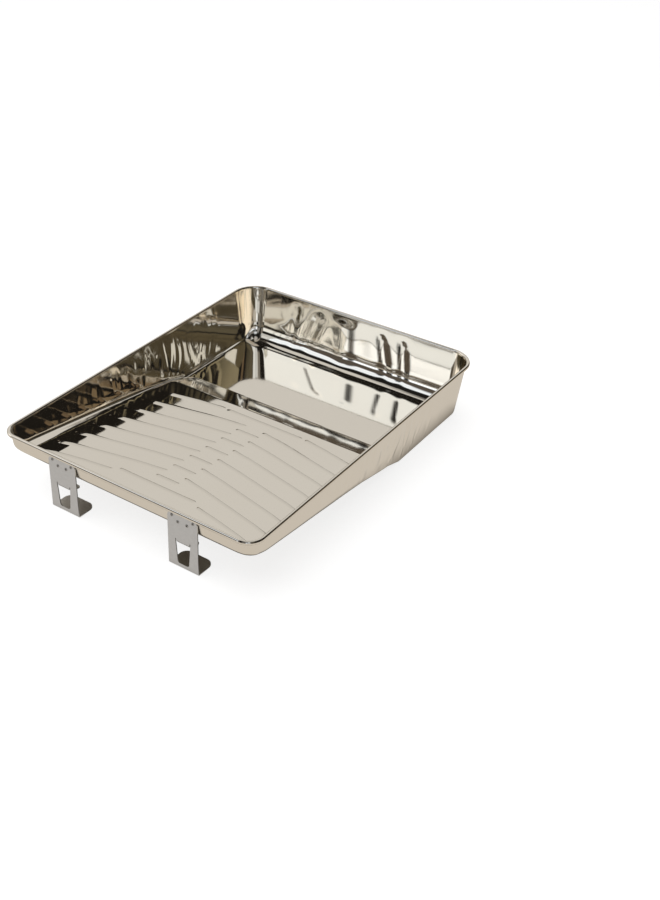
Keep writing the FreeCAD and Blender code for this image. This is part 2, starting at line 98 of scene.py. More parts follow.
# least distance across from a rear corner's centre that its turn is measured with
LEAST_ACROSS = 0.01

# ribs
RIB_ROWS = 6
RIB_FIRST, RIB_PITCH = 5.0, 24.8
RIB_SWEEP = math.radians(13.8)
RIB_INNER, RIB_OUTER = 12.0, 123.5
DASH_SETBACK, DASH_HALF = 12.0, 12.0
CREST_BAR, FRONT_BAR = 22.0, -146.0
BAR_HALF, ARM_START, FRONT_ARM_DROP = 44.0, 52.0, 6.0
RIB_RISE, SLANT_RISE = 1.4, 1.5
SLANT_OUTER, SLANT_FADE, SLANT_INNER_FADE = 123.0, 14.0, 30.0
SLANT_TOE, RIB_TOE, RIB_CREST, RIB_HEEL = -20.0, -2.8, 1.6, 2.6
RIB_SOFTNESS = 0.35
RIB_END = 4.5
# where and how wide the painted shade line lies behind each rib's crest
CREASE_PLACE, CREASE_WIDTH = 1.65, 0.6

# dents and waves left by the press: how far below the rim and above the bottom they come in
WAVE_FADE_TOP = (2.0, 14.0)
WAVE_FADE_FOOT = (1.0, 9.0)
# long waves of the rear wall: depth, length, lean, phase
REAR_WAVES = [(0.05, 54.0, 0.1, 0.8)]
# upright dents of the rear wall: place across at DENT_MIDDLE below the rim, half width, depth, lean
DENT_MIDDLE = 25.0
REAR_DENTS = [(-79.0, 6.5, 0.46, -0.10), (-52.0, 8.0, 0.62, -0.35), (-12.0, 12.0, -0.95, 0.12),
              (37.0, 7.0, 0.52, 0.28), (62.0, 6.0, 0.42, 0.16)]
# waves of the drop to the well: depth, length across, length along, phase
DROP_WAVES = [(0.022, 47.0, 160.0, 0.4), (0.006, 22.0, -90.0, 1.9)]
DROP_WAVE_FADE = (CREST_ALONG + 2.0, CREST_ALONG + 14.0)
# upright buckles of the side walls, deepest beside the crest
BUCKLE_DEPTH = {"left": 0.22, "right": 0.30}
BUCKLE_PITCH = 12.0
BUCKLE_FIRST, BUCKLE_LAST = -146.0, 128.0
BUCKLE_DEEPEST, BUCKLE_SPREAD, BUCKLE_EVERYWHERE = 28.0, 62.0, 0.3
BUCKLE_MIDDLE = 22.0
# where along the tray the buckles fade out and the rear wall's dents and waves come in
BUCKLE_FADE = (REAR_END - 30.0, REAR_END)
DENT_FADE = (REAR_END - 5.0, HALF_LENGTH - 12.0)

# settling points on the surface: step of the slope probe, least rate trusted, longest single move
PROBE = 0.02
LEAST_RATE = 0.2
LONGEST_MOVE = 2.0
# rounds of each search for a place: points on the surface, centres of the foot, rows and columns in plan
SETTLE_ROUNDS, CENTRE_ROUNDS, PLAN_ROUNDS = 8, 12, 3


# ---------------------------------------------------------------- pan: the surface as a formula


def smooth_step(value, low, high):
    """0 below low, 1 above high and an even S between."""
    share = np.clip((value - low) / (high - low), 0, 1)
    return share * share * (3 - 2 * share)


def smooth_min(first, second, blend):
    """The lower of two heights, rounded where they cross."""
    overlap = np.maximum(blend - np.abs(first - second), 0)
    return np.minimum(first, second) - overlap * overlap / (4 * blend)


def smooth_max(first, second, blend):
    return -smooth_min(-first, -second, blend)


def hinge(value, softness):
    """0 below zero and the value itself above it, with a soft bend at zero."""
    return (value + np.sqrt(value * value + softness * softness)) / 2


def inset_from_rim(x, y):
    """Distance inwards from the rim's rounded outline, square to it."""
    radius = np.where(y > 0, REAR_RADIUS, FRONT_RADIUS)
    across = np.abs(x) - (HALF_WIDTH - radius)
    along = np.abs(y) - (HALF_LENGTH - radius)
    beyond = np.hypot(np.maximum(across, 0), np.maximum(along, 0))
    return radius - beyond - np.minimum(np.maximum(across, along), 0)


def wall_inset(z):
    """How far inside the rim's outline the wall's inner face stands at a height."""
    return 2 * CURL_RADIUS + (CURL_HEIGHT - z) * math.tan(DRAFT)


def rib_list():
    """Every rib: centre across, centre along, half length, turn, rise of the slope in front of it."""
    ribs = []

    def add_arms(start, along):
        middle = (start + RIB_OUTER) / 2
        half = (RIB_OUTER - start) / 2
        for sign in (-1, 1):
            ribs.append((middle * sign, along - half * math.tan(RIB_SWEEP), half / math.cos(RIB_SWEEP),
                         -RIB_SWEEP * sign, SLANT_RISE))

    for row in range(RIB_ROWS):
        along = RIB_FIRST - RIB_PITCH * row
        add_arms(RIB_INNER, along)
        ribs.append((0.0, along - DASH_SETBACK, DASH_HALF, 0.0, 0.0))
    for along, drop in ((CREST_BAR, 0), (FRONT_BAR, FRONT_ARM_DROP)):
        ribs.append((0.0, along, BAR_HALF, 0.0, 0.0))
        add_arms(ARM_START, along - drop)
    return ribs


RIBS = rib_list()


def soft_ramp(value, low, high):
    """0 below low, 1 above high and straight between, with soft bends."""
    return (hinge(value - low, RIB_SOFTNESS) - hinge(value - high, RIB_SOFTNESS)) / (high - low)


def along_rib(x, y, rib):
    """Distance past a rib's line, square to it, and how fully the rib stands there, from 0 to 1."""
    across, along, half, turn = rib[:4]
    u = (x - across) * math.cos(turn) + (y - along) * math.sin(turn)
    w = (y - along) * math.cos(turn) - (x - across) * math.sin(turn)
    return w, 1 - smooth_step(np.abs(u), half - RIB_END / 2, half + RIB_END / 2)


def rib_height(x, y):
    """Height of the ribs above the panel: a long slope up from the legs' side, a short fall to the well's.

    The long slope keeps its tilt while it narrows to a point at the rib's outer end."""
    total = np.zeros_like(x)
    outer = np.clip((SLANT_OUTER - np.abs(x)) / SLANT_FADE, 0, 1)
    for rib in RIBS:
        across, _, half, turn, slant_rise = rib
        w, ends = along_rib(x, y, rib)
        fall = soft_ramp(w, RIB_CREST, RIB_HEEL)
        total += RIB_RISE * (soft_ramp(w, RIB_TOE, RIB_CREST) - fall) * ends
        start = abs(across) - half * math.cos(turn)
        inner = smooth_step(np.abs(x) - start, 0, SLANT_INNER_FADE)
        toe = RIB_CREST + (SLANT_TOE - RIB_CREST) * outer
        climb = hinge(w - toe, RIB_SOFTNESS) - hinge(w - RIB_CREST, RIB_SOFTNESS)
        climb = climb / (RIB_CREST - SLANT_TOE)
        total += slant_rise * (climb - fall * outer) * ends * inner
    return total


def painted_shade_share(x, y):
    """How far a place lies in the painted shade line behind a rib's crest, from 0 to 1."""
    total = np.zeros_like(x)
    for rib in RIBS:
        w, ends = along_rib(x, y, rib)
        total += np.exp(-((w - CREASE_PLACE) / CREASE_WIDTH) ** 2) * ends
    return np.clip(total, 0, 1)


def panel_edge(x, y):
    """Distance outside the panel's edge, negative on the panel."""
    share = (y - PANEL_FRONT) / (CREST_ALONG - PANEL_FRONT)
    half = PANEL_HALF_FRONT + (PANEL_HALF_REAR - PANEL_HALF_FRONT) * share
    across = np.abs(x) - (half - PANEL_CORNER)
    along = (PANEL_FRONT + PANEL_CORNER) - y
    beyond = np.hypot(np.maximum(across, 0), np.maximum(along, 0))
    return beyond + np.minimum(np.maximum(across, along), 0) - PANEL_CORNER


def floor_height(x, y):
    """Height of the bottom's upper face."""
    ramp = CREST_HEIGHT - PANEL_SINK + (CREST_ALONG - y) * RAMP_FALL
    edge_slope = np.interp(y, EDGE_ALONG, EDGE_SLOPE)
    ramp = ramp + edge_slope * hinge(panel_edge(x, y), EDGE_BLEND) + rib_height(x, y)
    drop = CREST_HEIGHT - (y - CREST_ALONG) * DROP_FALL
    drop = drop - DROP_SAG * hinge(np.abs(x) - DROP_SAG_FROM, DROP_SAG_BLEND)
    for size, across, along, phase in DROP_WAVES:
        wave = np.sin(2 * math.pi * (x / across + y / along) + phase)
        drop = drop + size * wave * smooth_step(y, *DROP_WAVE_FADE)
    return smooth_max(smooth_min(ramp, drop, CREST_BLEND), WELL_HEIGHT + 0 * y, WELL_BLEND)


def foot_radius(x, y):
    """Radius between wall and bottom: larger along the rear wall, changing within the rear corners."""
    turn = np.degrees(np.arctan2(y - REAR_END,
                                 np.maximum(np.abs(x) - REAR_HALF, LEAST_ACROSS)))
    rear = smooth_step(turn, *FOOT_TURN)
    front = smooth_step(-y, HALF_LENGTH - 2 * FRONT_RADIUS, HALF_LENGTH - FRONT_RADIUS)
    side = np.interp(y, FOOT_SIDE_ALONG, FOOT_SIDE)
    return side + (FOOT_REAR - side) * rear + (FOOT_FRONT - side) * front


def buckle_list(name):
    """Upright buckles of a side wall: place along, lean, bow, half width and depth."""
    chance = random.Random(name)
    buckles = []
    along = BUCKLE_FIRST
    while along < BUCKLE_LAST:
        near = math.exp(-((along - BUCKLE_DEEPEST) / BUCKLE_SPREAD) ** 2)
        depth = BUCKLE_DEPTH[name] * (BUCKLE_EVERYWHERE + near)
        buckles.append((along, chance.uniform(-0.25, 0.25), chance.uniform(-0.02, 0.02),
                        chance.uniform(1.5, 3.0),
                        depth * chance.uniform(0.5, 1.1) * chance.choice((-1, 1))))
        along += BUCKLE_PITCH * chance.uniform(0.55, 1.25)
    return buckles


BUCKLES = {name: buckle_list(name) for name in BUCKLE_DEPTH}


def wall_waves(x, y, z, above_floor):
    """How far the wall's sheet stands off its true plane, fading out at the rim and at the foot."""
    below = CURL_HEIGHT - z
    side = np.zeros_like(x)
    for name, buckles in BUCKLES.items():
        here = x < 0 if name == "left" else x > 0
        for along, lean, bow, width, depth in buckles:
            off = y - along - lean * (below - BUCKLE_MIDDLE) - bow * (below - BUCKLE_MIDDLE) ** 2
            side += here * depth * np.exp(-(off / width) ** 2)
    rear = np.zeros_like(x)
    for size, length, lean, phase in REAR_WAVES:
        rear += size * np.sin(2 * math.pi * (x + lean * below) / length + phase)
    for across, width, depth, lean in REAR_DENTS:
        rear += depth * np.exp(-((x - across - lean * (below - DENT_MIDDLE)) / width) ** 2)
    waves = side * (1 - smooth_step(y, *BUCKLE_FADE)) + rear * smooth_step(y, *DENT_FADE)
    return waves * smooth_step(below, *WAVE_FADE_TOP) * smooth_step(above_floor, *WAVE_FADE_FOOT)


def clearance(points):
    """How far points are inside the pan's hollow: zero on the sheet's inner face, positive above it."""
    x, y, z = points[..., 0], points[..., 1], points[..., 2]
    radius = foot_radius(x, y)
    from_floor = (z - floor_height(x, y)) * math.cos(math.atan(RAMP_FALL))
    from_wall = (inset_from_rim(x, y) - wall_inset(z)) * math.cos(DRAFT) + wall_waves(x, y, z, from_floor)
    return radius - np.hypot(np.maximum(radius - from_wall, 0), np.maximum(radius - from_floor, 0))


def face_normals(points):
    """Unit normals of the inner face, from the slope of the clearance."""
    slope = np.empty_like(points)
    for axis in range(3):
        step = np.zeros(3)
        step[axis] = PROBE
        slope[..., axis] = clearance(points + step) - clearance(points - step)
    return slope / np.linalg.norm(slope, axis=-1, keepdims=True)


def settle(points, ways):
    """Slide points along given ways until they lie on the inner face."""
    points = points.copy()
    for _ in range(SETTLE_ROUNDS):
        here = clearance(points)
        rate = (clearance(points + ways * PROBE) - clearance(points - ways * PROBE)) / (2 * PROBE)
        rate = np.where(np.abs(rate) < LEAST_RATE, -LEAST_RATE, rate)
        points -= ways * np.clip(here / rate, -LONGEST_MOVE, LONGEST_MOVE)[..., None]
    return points


# ---------------------------------------------------------------- pan: the mesh

CORNER_STEPS = 18
WALL_STEPS = 11
FOOT_STEPS = 9
SHELF_STEPS = 3
CURL_STEPS = 12
APRON_STEPS = 4
# rows of the bottom's grid: offsets from each line of ribs, and rows added in front of a line
RIB_OFFSETS = [-3.6, -2.2, 0.9, 1.4, 1.8, 2.2, 2.6, 3.2]
ROWS_TO_FRONT_BAR, ROWS_TO_RIBS, ROWS_TO_CREST_BAR = 5, 1, 3
# straight rows behind the crest: place along, and rows added in front of it
WELL_LINES = [(32, 5), (42, 8), (66, 17), (74, 6), (120, 20), (REAR_END, 9)]
# columns: shares of the half width, and columns between one and the next
COLUMN_MARKS = [0, 0.07, 0.13, 0.32, 0.42, 0.80, 0.97, 1]
COLUMN_COUNTS = [3, 6, 7, 6, 13, 15, 2]
# inset of the inner line, where the wall's rings end and the bottom's grid begins
INNER_INSET_FRONT, INNER_INSET_REAR = 13.5, 26.5
SIDE_INSET_ALONG = [FRONT_END, -150.0, 60.0, REAR_END]
SIDE_INSET = [INNER_INSET_FRONT, 15.0, 19.0, 19.5]
INSET_TURN = 0.6
# how far below the middle of the curl the wall's first ring lies
WALL_START = 0.8
# how near to the inner line a corner fan's hub lies, from 0 to 1
HUB_SHARE = 0.6
UP = np.array([0.0, 0.0, 1.0])


def straight_line(along):
    return lambda across: along + 0 * across


def rib_line(along, start):
    """Where a line of ribs lies along the tray, at a distance across: level, then falling back."""
    reach = RIB_OUTER + RIB_END - start
    return lambda across: along - math.tan(RIB_SWEEP) * np.clip(across - start, 0, reach)


def front_line(across):
    """The front bar's line, whose arms start a step nearer the legs."""
    drop = FRONT_ARM_DROP * smooth_step(across, BAR_HALF, ARM_START)
    return rib_line(FRONT_BAR, ARM_START)(across) - drop


def mesh_rows():
    """The mesh's rows from front to rear, gathered round each line of ribs.

    Each row is a share of the way from one line to another, both with an offset."""
    lines = [(front_line, ROWS_TO_FRONT_BAR)]
    for row in reversed(range(RIB_ROWS)):
        along = RIB_FIRST - RIB_PITCH * row
        lines.append((rib_line(along - DASH_SETBACK, RIB_INNER), ROWS_TO_RIBS))
        lines.append((rib_line(along, RIB_INNER), ROWS_TO_RIBS))
    lines.append((rib_line(CREST_BAR, ARM_START), ROWS_TO_CREST_BAR))
    previous = (straight_line(FRONT_END), 0)
    rows = [(previous, previous, 0)]

    def fill(target, count):
        rows.extend((previous, target, step / (count + 1)) for step in range(1, count + 1))

    for line, count in lines:
        fill((line, RIB_OFFSETS[0]), count)
        rows.extend(((line, offset), (line, offset), 0) for offset in RIB_OFFSETS)
        previous = (line, RIB_OFFSETS[-1])
    for along, count in WELL_LINES:
        target = (straight_line(along), 0)
        fill(target, count)
        rows.append((target, target, 0))
        previous = target
    return rows


def row_along(row, across):
    """Place of a row along the tray at a distance across from the middle."""
    (first, first_offset), (second, second_offset), share = row
    return (first(across) + first_offset) * (1 - share) + (second(across) + second_offset) * share


def column_shares():
    """Places of the columns as shares of their half width, closer together near the ends of ribs."""
    half = [0.0]
    for low, high, count in zip(COLUMN_MARKS[:-1], COLUMN_MARKS[1:], COLUMN_COUNTS):
        half += [low + (high - low) * step / count for step in range(1, count + 1)]
    return np.array([-share for share in reversed(half[1:])] + half)


ROWS = mesh_rows()
COLUMNS = column_shares()


def columns_half(y):
    """Half width of the middle columns at a distance along the tray."""
    return np.interp(y, [FRONT_END, REAR_END], [FRONT_HALF, REAR_HALF])


def side_inset(y):
    """Inset of the inner line along the sides."""
    return np.interp(y, SIDE_INSET_ALONG, SIDE_INSET)


class MeshData:
    """Vertices, normals and faces as they are gathered."""

    def __init__(self):
        self.points = []
        self.normals = []
        self.faces = []
        self.count = 0

    def add(self, points, normals):
        """Store an array of points and return their numbers in the same arrangement."""
        numbers = self.count + np.arange(points[..., 0].size).reshape(points.shape[:-1])
        self.points.append(points.reshape(-1, 3))
        self.normals.append(normals.reshape(-1, 3))
        self.count += numbers.size
        return numbers

    def face(self, faces):
        """Add faces of one patch, all turned to face the way their vertices' normals do."""
        faces = np.asarray(faces)
        points, normals = np.concatenate(self.points), np.concatenate(self.normals)
        first, second, third = points[faces[:, 0]], points[faces[:, 1]], points[faces[:, 2]]
        facing = np.sum(np.cross(second - first, third - first) * normals[faces[:, 0]])
        self.faces += (faces if facing > 0 else faces[:, ::-1]).tolist()

    def grid(self, numbers):
        """Faces between neighbouring rows and columns of vertex numbers."""
        corners = (numbers[:-1, :-1], numbers[:-1, 1:], numbers[1:, 1:], numbers[1:, :-1])
        self.face(np.stack(corners, axis=-1).reshape(-1, 4))

    def fan(self, hub, loop):
        """Triangles from one vertex to each stretch of a closed loop round it."""
        self.face([(hub, here, after) for here, after in zip(loop, loop[1:] + loop[:1])])

    def build(self, name):
        mesh = bpy.data.meshes.new(name)
        mesh.from_pydata((np.concatenate(self.points) * MM).tolist(), [], self.faces)
        mesh.shade_smooth()
        places = np.concatenate(self.points)
        # this attribute holds painted shade along the ribs' creases, which darkens the tinplate's colour
        crease_shade = mesh.attributes.new("crease_shade", "FLOAT", "POINT")
        crease_shade.data.foreach_set("value", painted_shade_share(places[:, 0], places[:, 1]))
        mesh.normals_split_custom_set_from_vertices(np.concatenate(self.normals).tolist())
        obj = bpy.data.objects.new(name, mesh)
        bpy.context.scene.collection.objects.link(obj)
        return obj


def rim_stations():
    """Points round the rim's outline, anticlockwise from the front left, each with the way inwards and the
    inset of the inner line. Also gives the first and last station of each straight side."""
    places, ways, insets, sides = [], [], [], {}

    def add_side(name, points, way, side_insets):
        sides[name] = (len(places), len(places) + len(points) - 1)
        places.extend(points)
        ways.extend([way] * len(points))
        insets.extend(side_insets)

    def add_corner(centre, radius, quarter, first_inset, last_inset):
        for step in range(1, CORNER_STEPS):
            share = step / CORNER_STEPS
            angle = (quarter + share) * math.pi / 2
            places.append((centre[0] + radius * math.cos(angle), centre[1] + radius * math.sin(angle)))
            ways.append((-math.cos(angle), -math.sin(angle)))
            turned = (smooth_step(share, 0, INSET_TURN) if last_inset > first_inset
                      else smooth_step(share, 1 - INSET_TURN, 1))
            insets.append(first_inset + (last_inset - first_inset) * turned)

    row_ends = np.array([float(row_along(row, HALF_WIDTH)) for row in ROWS])
    side = list(side_inset(row_ends))
    front, rear = [INNER_INSET_FRONT] * len(COLUMNS), [INNER_INSET_REAR] * len(COLUMNS)
    add_side("front", [(share * FRONT_HALF, -HALF_LENGTH) for share in COLUMNS], (0, 1), front)
    add_corner((FRONT_HALF, FRONT_END), FRONT_RADIUS, -1, front[-1], side[0])
    add_side("right", [(HALF_WIDTH, y) for y in row_ends], (-1, 0), side)
    add_corner((REAR_HALF, REAR_END), REAR_RADIUS, 0, side[-1], rear[0])
    add_side("rear", [(share * REAR_HALF, HALF_LENGTH) for share in COLUMNS[::-1]], (0, -1), rear)
    add_corner((-REAR_HALF, REAR_END), REAR_RADIUS, 1, rear[-1], side[-1])
    add_side("left", [(-HALF_WIDTH, y) for y in row_ends[::-1]], (1, 0), side[::-1])
    add_corner((-FRONT_HALF, FRONT_END), FRONT_RADIUS, 2, side[0], front[0])
    return np.array(places), np.array(ways), np.array(insets), sides


def at_height(flat, z):
    """Plan points given a height each."""
    return np.concatenate([flat, np.broadcast_to(z, flat.shape[:-1])[..., None]], axis=-1)


def wall_rings(places, ways, insets):
    """Inner face as rings of points: down the wall, round its foot and in to the inner line."""
    centre_inset = np.full(len(places), FOOT_REAR)
    for _ in range(CENTRE_ROUNDS):
        spot = places + ways * centre_inset[:, None]
        radius = foot_radius(spot[:, 0], spot[:, 1])
        centre_height = floor_height(spot[:, 0], spot[:, 1]) + radius
        centre_inset = wall_inset(centre_height) + radius / math.cos(DRAFT)
    guesses, slides = [], []
    inward = at_height(ways, 0.0)
    top, foot = CURL_HEIGHT - WALL_START, centre_height + radius * math.sin(DRAFT)
    for step in range(WALL_STEPS):
        z = top + (foot - top) * step / WALL_STEPS
        guesses.append(at_height(places + ways * wall_inset(z)[:, None], z))
        slides.append(inward)
    for step in range(FOOT_STEPS + 1):
        angle = DRAFT + (math.pi / 2 - DRAFT) * step / FOOT_STEPS
        out = inward * -math.cos(angle) - UP * math.sin(angle)
        centres = at_height(places + ways * centre_inset[:, None], centre_height)
        guesses.append(centres + out * radius[:, None])
        slides.append(out)
    for step in range(1, SHELF_STEPS + 1):
        inset = centre_inset + (insets - centre_inset) * step / SHELF_STEPS
        flat = places + ways * inset[:, None]
        guesses.append(at_height(flat, floor_height(flat[:, 0], flat[:, 1])))
        slides.append(np.broadcast_to(UP, guesses[-1].shape))
    return settle(np.stack(guesses), np.stack(slides))


def curl_rings(places, ways, radius):
    """Rings of points and normals round the rolled edge, from the wall over the top to its hidden end."""
    rings, normals = [], []
    for step in range(CURL_STEPS + 1):
        angle = math.pi - CURL_TURN * step / CURL_STEPS
        out, up = math.cos(angle), math.sin(angle)
        rings.append(at_height(places + ways * (CURL_RADIUS - radius * out), CURL_HEIGHT + radius * up))
        normals.append(at_height(-ways * out, up))
    return np.stack(rings), np.stack(normals)


def floor_points(flat, lower):
    """Points and normals of the bottom over plan points: its upper face, or its lower one."""
    points = at_height(flat, floor_height(flat[..., 0], flat[..., 1]))
    points = settle(points, np.broadcast_to(UP, points.shape))
    normals = face_normals(points)
    if lower:
        return points - normals * GAUGE, -normals
    return points, normals


def fill_bottom(data, line, line_flat, sides, lower):
    """Fill one face of the bottom inside its inner line: middle grid, aprons at the sides, corner fans."""
    rows = []
    for row in ROWS:
        y = row_along(row, np.abs(COLUMNS) * FRONT_HALF)
        for _ in range(PLAN_ROUNDS):
            x = COLUMNS * columns_half(y)
            y = row_along(row, np.abs(x))
        rows.append(np.stack([x, y], axis=-1))
    plan = np.stack(rows)
    middle = data.add(*floor_points(plan, lower))
    data.grid(middle)
    borders = {"front": (middle[0], plan[0]), "right": (middle[:, -1], plan[:, -1]),
               "rear": (middle[-1, ::-1], plan[-1, ::-1]), "left": (middle[::-1, 0], plan[::-1, 0])}
    aprons = {}
    for name, (border, border_flat) in borders.items():
        first, last = sides[name]
        edge_flat = line_flat[first:last + 1]
        layers = [line[first:last + 1]]
        for step in range(1, APRON_STEPS):
            share = step / APRON_STEPS
            layers.append(data.add(*floor_points(edge_flat * (1 - share) + border_flat * share, lower)))
        aprons[name] = np.stack(layers + [border])
        data.grid(aprons[name])
    order = ["front", "right", "rear", "left"]
    for name, following in zip(order, order[1:] + order[:1]):
        start, end = sides[name][1], sides[following][0]
        arc = [step % len(line) for step in range(start, (end if end > start else end + len(line)) + 1)]
        loop = [int(line[step]) for step in arc]
        loop += aprons[following][1:, 0].tolist() + aprons[name][-2:0:-1, -1].tolist()
        hub_flat = line_flat[arc].mean(axis=0) * HUB_SHARE + borders[following][1][0] * (1 - HUB_SHARE)
        hub = int(data.add(*floor_points(hub_flat[None], lower))[0])
        data.fan(hub, loop)


def pan_sheet():
    """The whole pan as one closed sheet: inner face, rolled rim, outer face."""
    data = MeshData()
    places, ways, insets, sides = rim_stations()
    inner = wall_rings(places, ways, insets)
    inner_normals = face_normals(inner)
    roll_out, roll_out_normals = curl_rings(places, ways, CURL_RADIUS)
    roll_in, roll_in_normals = curl_rings(places, ways, CURL_RADIUS - GAUGE)
    rings = [(inner, inner_normals), (roll_out, roll_out_normals), (roll_in, -roll_in_normals),
             (inner - inner_normals * GAUGE, -inner_normals)]
    numbers = [data.add(points, normals) for points, normals in rings]
    outward = [numbers[0][::-1], numbers[1], numbers[2][::-1], numbers[3]]
    for number, band in enumerate(outward):
        closed = np.concatenate([band, band[:, :1]], axis=1)
        data.grid(closed)
        if number < len(outward) - 1:
            join = np.stack([band[-1], outward[number + 1][0]])
            data.grid(np.concatenate([join, join[:, :1]], axis=1))
    line_flat = places + ways * insets[:, None]
    fill_bottom(data, numbers[0][-1], line_flat, sides, lower=False)
    fill_bottom(data, numbers[3][-1], line_flat, sides, lower=True)
    return data.build("tray_pan_sheet")


# ---------------------------------------------------------------- node helpers


class Nodes:
    """Short calls for building a node tree."""

    def __init__(self, tree):
        self.tree = tree
        tree.nodes.clear()

    def add(self, kind, **settings):
        node = self.tree.nodes.new(kind)
        for key, value in settings.items():
            setattr(node, key, value)
        return node

    def link(self, output, socket):
        self.tree.links.new(output, socket)

    def feed(self, node, index, value):
        """Set an input to a number or colour, or link it to an output."""
        socket = node.inputs[index]
        if isinstance(value, bpy.types.NodeSocket):
            self.link(value, socket)
        elif value is not None:
            socket.default_value = value

    def math(self, operation, first, second=None, third=None):
        node = self.add("ShaderNodeMath", operation=operation)
        for index, value in enumerate((first, second, third)):
            self.feed(node, index, value)
        return node.outputs[0]

    def smooth(self, value, low, high):
        """0 at low, 1 at high, an even S between. low may be the larger of the two."""
        node = self.add("ShaderNodeMapRange", interpolation_type="SMOOTHSTEP")
        for name, item in (("Value", value), ("From Min", low), ("From Max", high)):
            self.feed(node, name, item)
        return node.outputs["Result"]

    def scale(self, value, low, high):
        """Move a value that runs from 0 to 1 into another range."""
        node = self.add("ShaderNodeMapRange")
        for name, item in (("Value", value), ("To Min", low), ("To Max", high)):
            self.feed(node, name, item)
        return node.outputs["Result"]

    def mix(self, share, first, second):
        node = self.add("ShaderNodeMix", data_type="RGBA")
        for index, value in ((0, share), (6, first), (7, second)):
            self.feed(node, index, value)
        return node.outputs[2]

    def noise(self, vector, scale, detail=2.0, roughness=0.5, distortion=0.0):
        node = self.add("ShaderNodeTexNoise")
        for name, item in (("Vector", vector), ("Scale", scale), ("Detail", detail),
                           ("Roughness", roughness), ("Distortion", distortion)):
            self.feed(node, name, item)
        return node.outputs["Fac"]

    def stretched(self, vector, scales):
        node = self.add("ShaderNodeMapping")
        self.feed(node, "Vector", vector)
        self.feed(node, "Scale", scales)
        return node.outputs[0]

    def place(self):
        return self.add("ShaderNodeTexCoord").outputs["Object"]

    def bump(self, height, strength, distance):
        node = self.add("ShaderNodeBump")
        for name, item in (("Height", height), ("Strength", strength), ("Distance", distance)):
            self.feed(node, name, item)
        return node.outputs[0]


def metal(name, build):
    """A metal material: build gets the node helper and returns the colour, the roughness and the bump."""
    material = bpy.data.materials.new(name)
    material.use_nodes = True
    nodes = Nodes(material.node_tree)
    colour, roughness, normal = build(nodes)
    shader = nodes.add("ShaderNodeBsdfPrincipled")
    for key, value in (("Base Color", colour), ("Metallic", 1.0),
                       ("Roughness", roughness), ("Normal", normal)):
        nodes.feed(shader, key, value)
    output = nodes.add("ShaderNodeOutputMaterial")
    nodes.link(shader.outputs[0], output.inputs["Surface"])
    return material


# ---------------------------------------------------------------- materials


TIN_SHADES = ((0.91, 0.852, 0.758, 1), (0.945, 0.895, 0.80, 1))
TIN_ROUGHNESS, TIN_HAZE = (0.045, 0.065), 0.03
ROLLING_STRETCH = (900.0, 30.0, 900.0)
# dark colour and strength of the painted shade in the ribs' creases
PAINTED_SHADE, PAINTED_SHADE_STRENGTH = (0.10, 0.088, 0.07, 1), 0.8
ZINC_SHADES = ((0.655, 0.67, 0.69, 1), (0.74, 0.755, 0.775, 1))
ZINC_ROUGHNESS = (0.26, 0.33)
SPANGLE_SCALE, SPANGLE_SHARE, PATCH_SHARE = 420.0, 0.4, 0.6
RIVET_SHADES = ((0.34, 0.335, 0.33, 1), (0.55, 0.545, 0.535, 1))
RIVET_ROUGHNESS = (0.25, 0.45)


def tinplate(nodes):
    """Bright tinplate: warm mirror metal with faint rolling lines, soft clouds, fingermark haze and
    painted shade in the creases behind the ribs.
    """
    place = nodes.place()
    clouds = nodes.noise(place, scale=14.0, detail=3.0)
    rolling = nodes.noise(nodes.stretched(place, ROLLING_STRETCH), scale=1.0, detail=2.0)
    haze = nodes.smooth(nodes.noise(place, scale=30.0, detail=4.0, roughness=0.6), low=0.45, high=0.75)
    bright = nodes.mix(clouds, *TIN_SHADES)
    # painted shade: the colour darkens towards dark brown in the creases behind the ribs' crests
    crease_shade = nodes.add("ShaderNodeAttribute", attribute_name="crease_shade").outputs["Fac"]
    colour = nodes.mix(nodes.math("MULTIPLY", crease_shade, PAINTED_SHADE_STRENGTH), bright, PAINTED_SHADE)
    roughness = nodes.math("MULTIPLY_ADD", haze, TIN_HAZE, nodes.scale(rolling, *TIN_ROUGHNESS))
    return colour, roughness, nodes.bump(rolling, strength=0.05, distance=0.00002)


def galvanised(nodes):
    """Zinc coating: satin grey with small faint spangles and a fine grain."""
    place = nodes.place()
    cells = nodes.add("ShaderNodeTexVoronoi", feature="F1")
    nodes.feed(cells, "Vector", place)
    nodes.feed(cells, "Scale", SPANGLE_SCALE)
    spangle = nodes.add("ShaderNodeSeparateColor")
    nodes.link(cells.outputs["Color"], spangle.inputs[0])
    patch = nodes.noise(place, scale=160.0, detail=4.0, roughness=0.6)
    grain = nodes.noise(place, scale=1800.0, detail=2.0)
    shade = nodes.math("MULTIPLY_ADD", spangle.outputs[0], SPANGLE_SHARE,
                       nodes.math("MULTIPLY", patch, PATCH_SHARE))
    colour = nodes.mix(shade, *ZINC_SHADES)
    roughness = nodes.scale(shade, *ZINC_ROUGHNESS)
    return colour, roughness, nodes.bump(grain, strength=0.10, distance=0.00005)


def rivet_steel(nodes):
    """Plain steel of the rivets: a little darker, with scuffs."""
    place = nodes.place()
    scuffs = nodes.noise(place, scale=900.0, detail=3.0, roughness=0.6)
    colour = nodes.mix(scuffs, *RIVET_SHADES)
    roughness = nodes.scale(scuffs, *RIVET_ROUGHNESS)
    return colour, roughness, nodes.bump(scuffs, strength=0.2, distance=0.00005)


# ---------------------------------------------------------------- studio

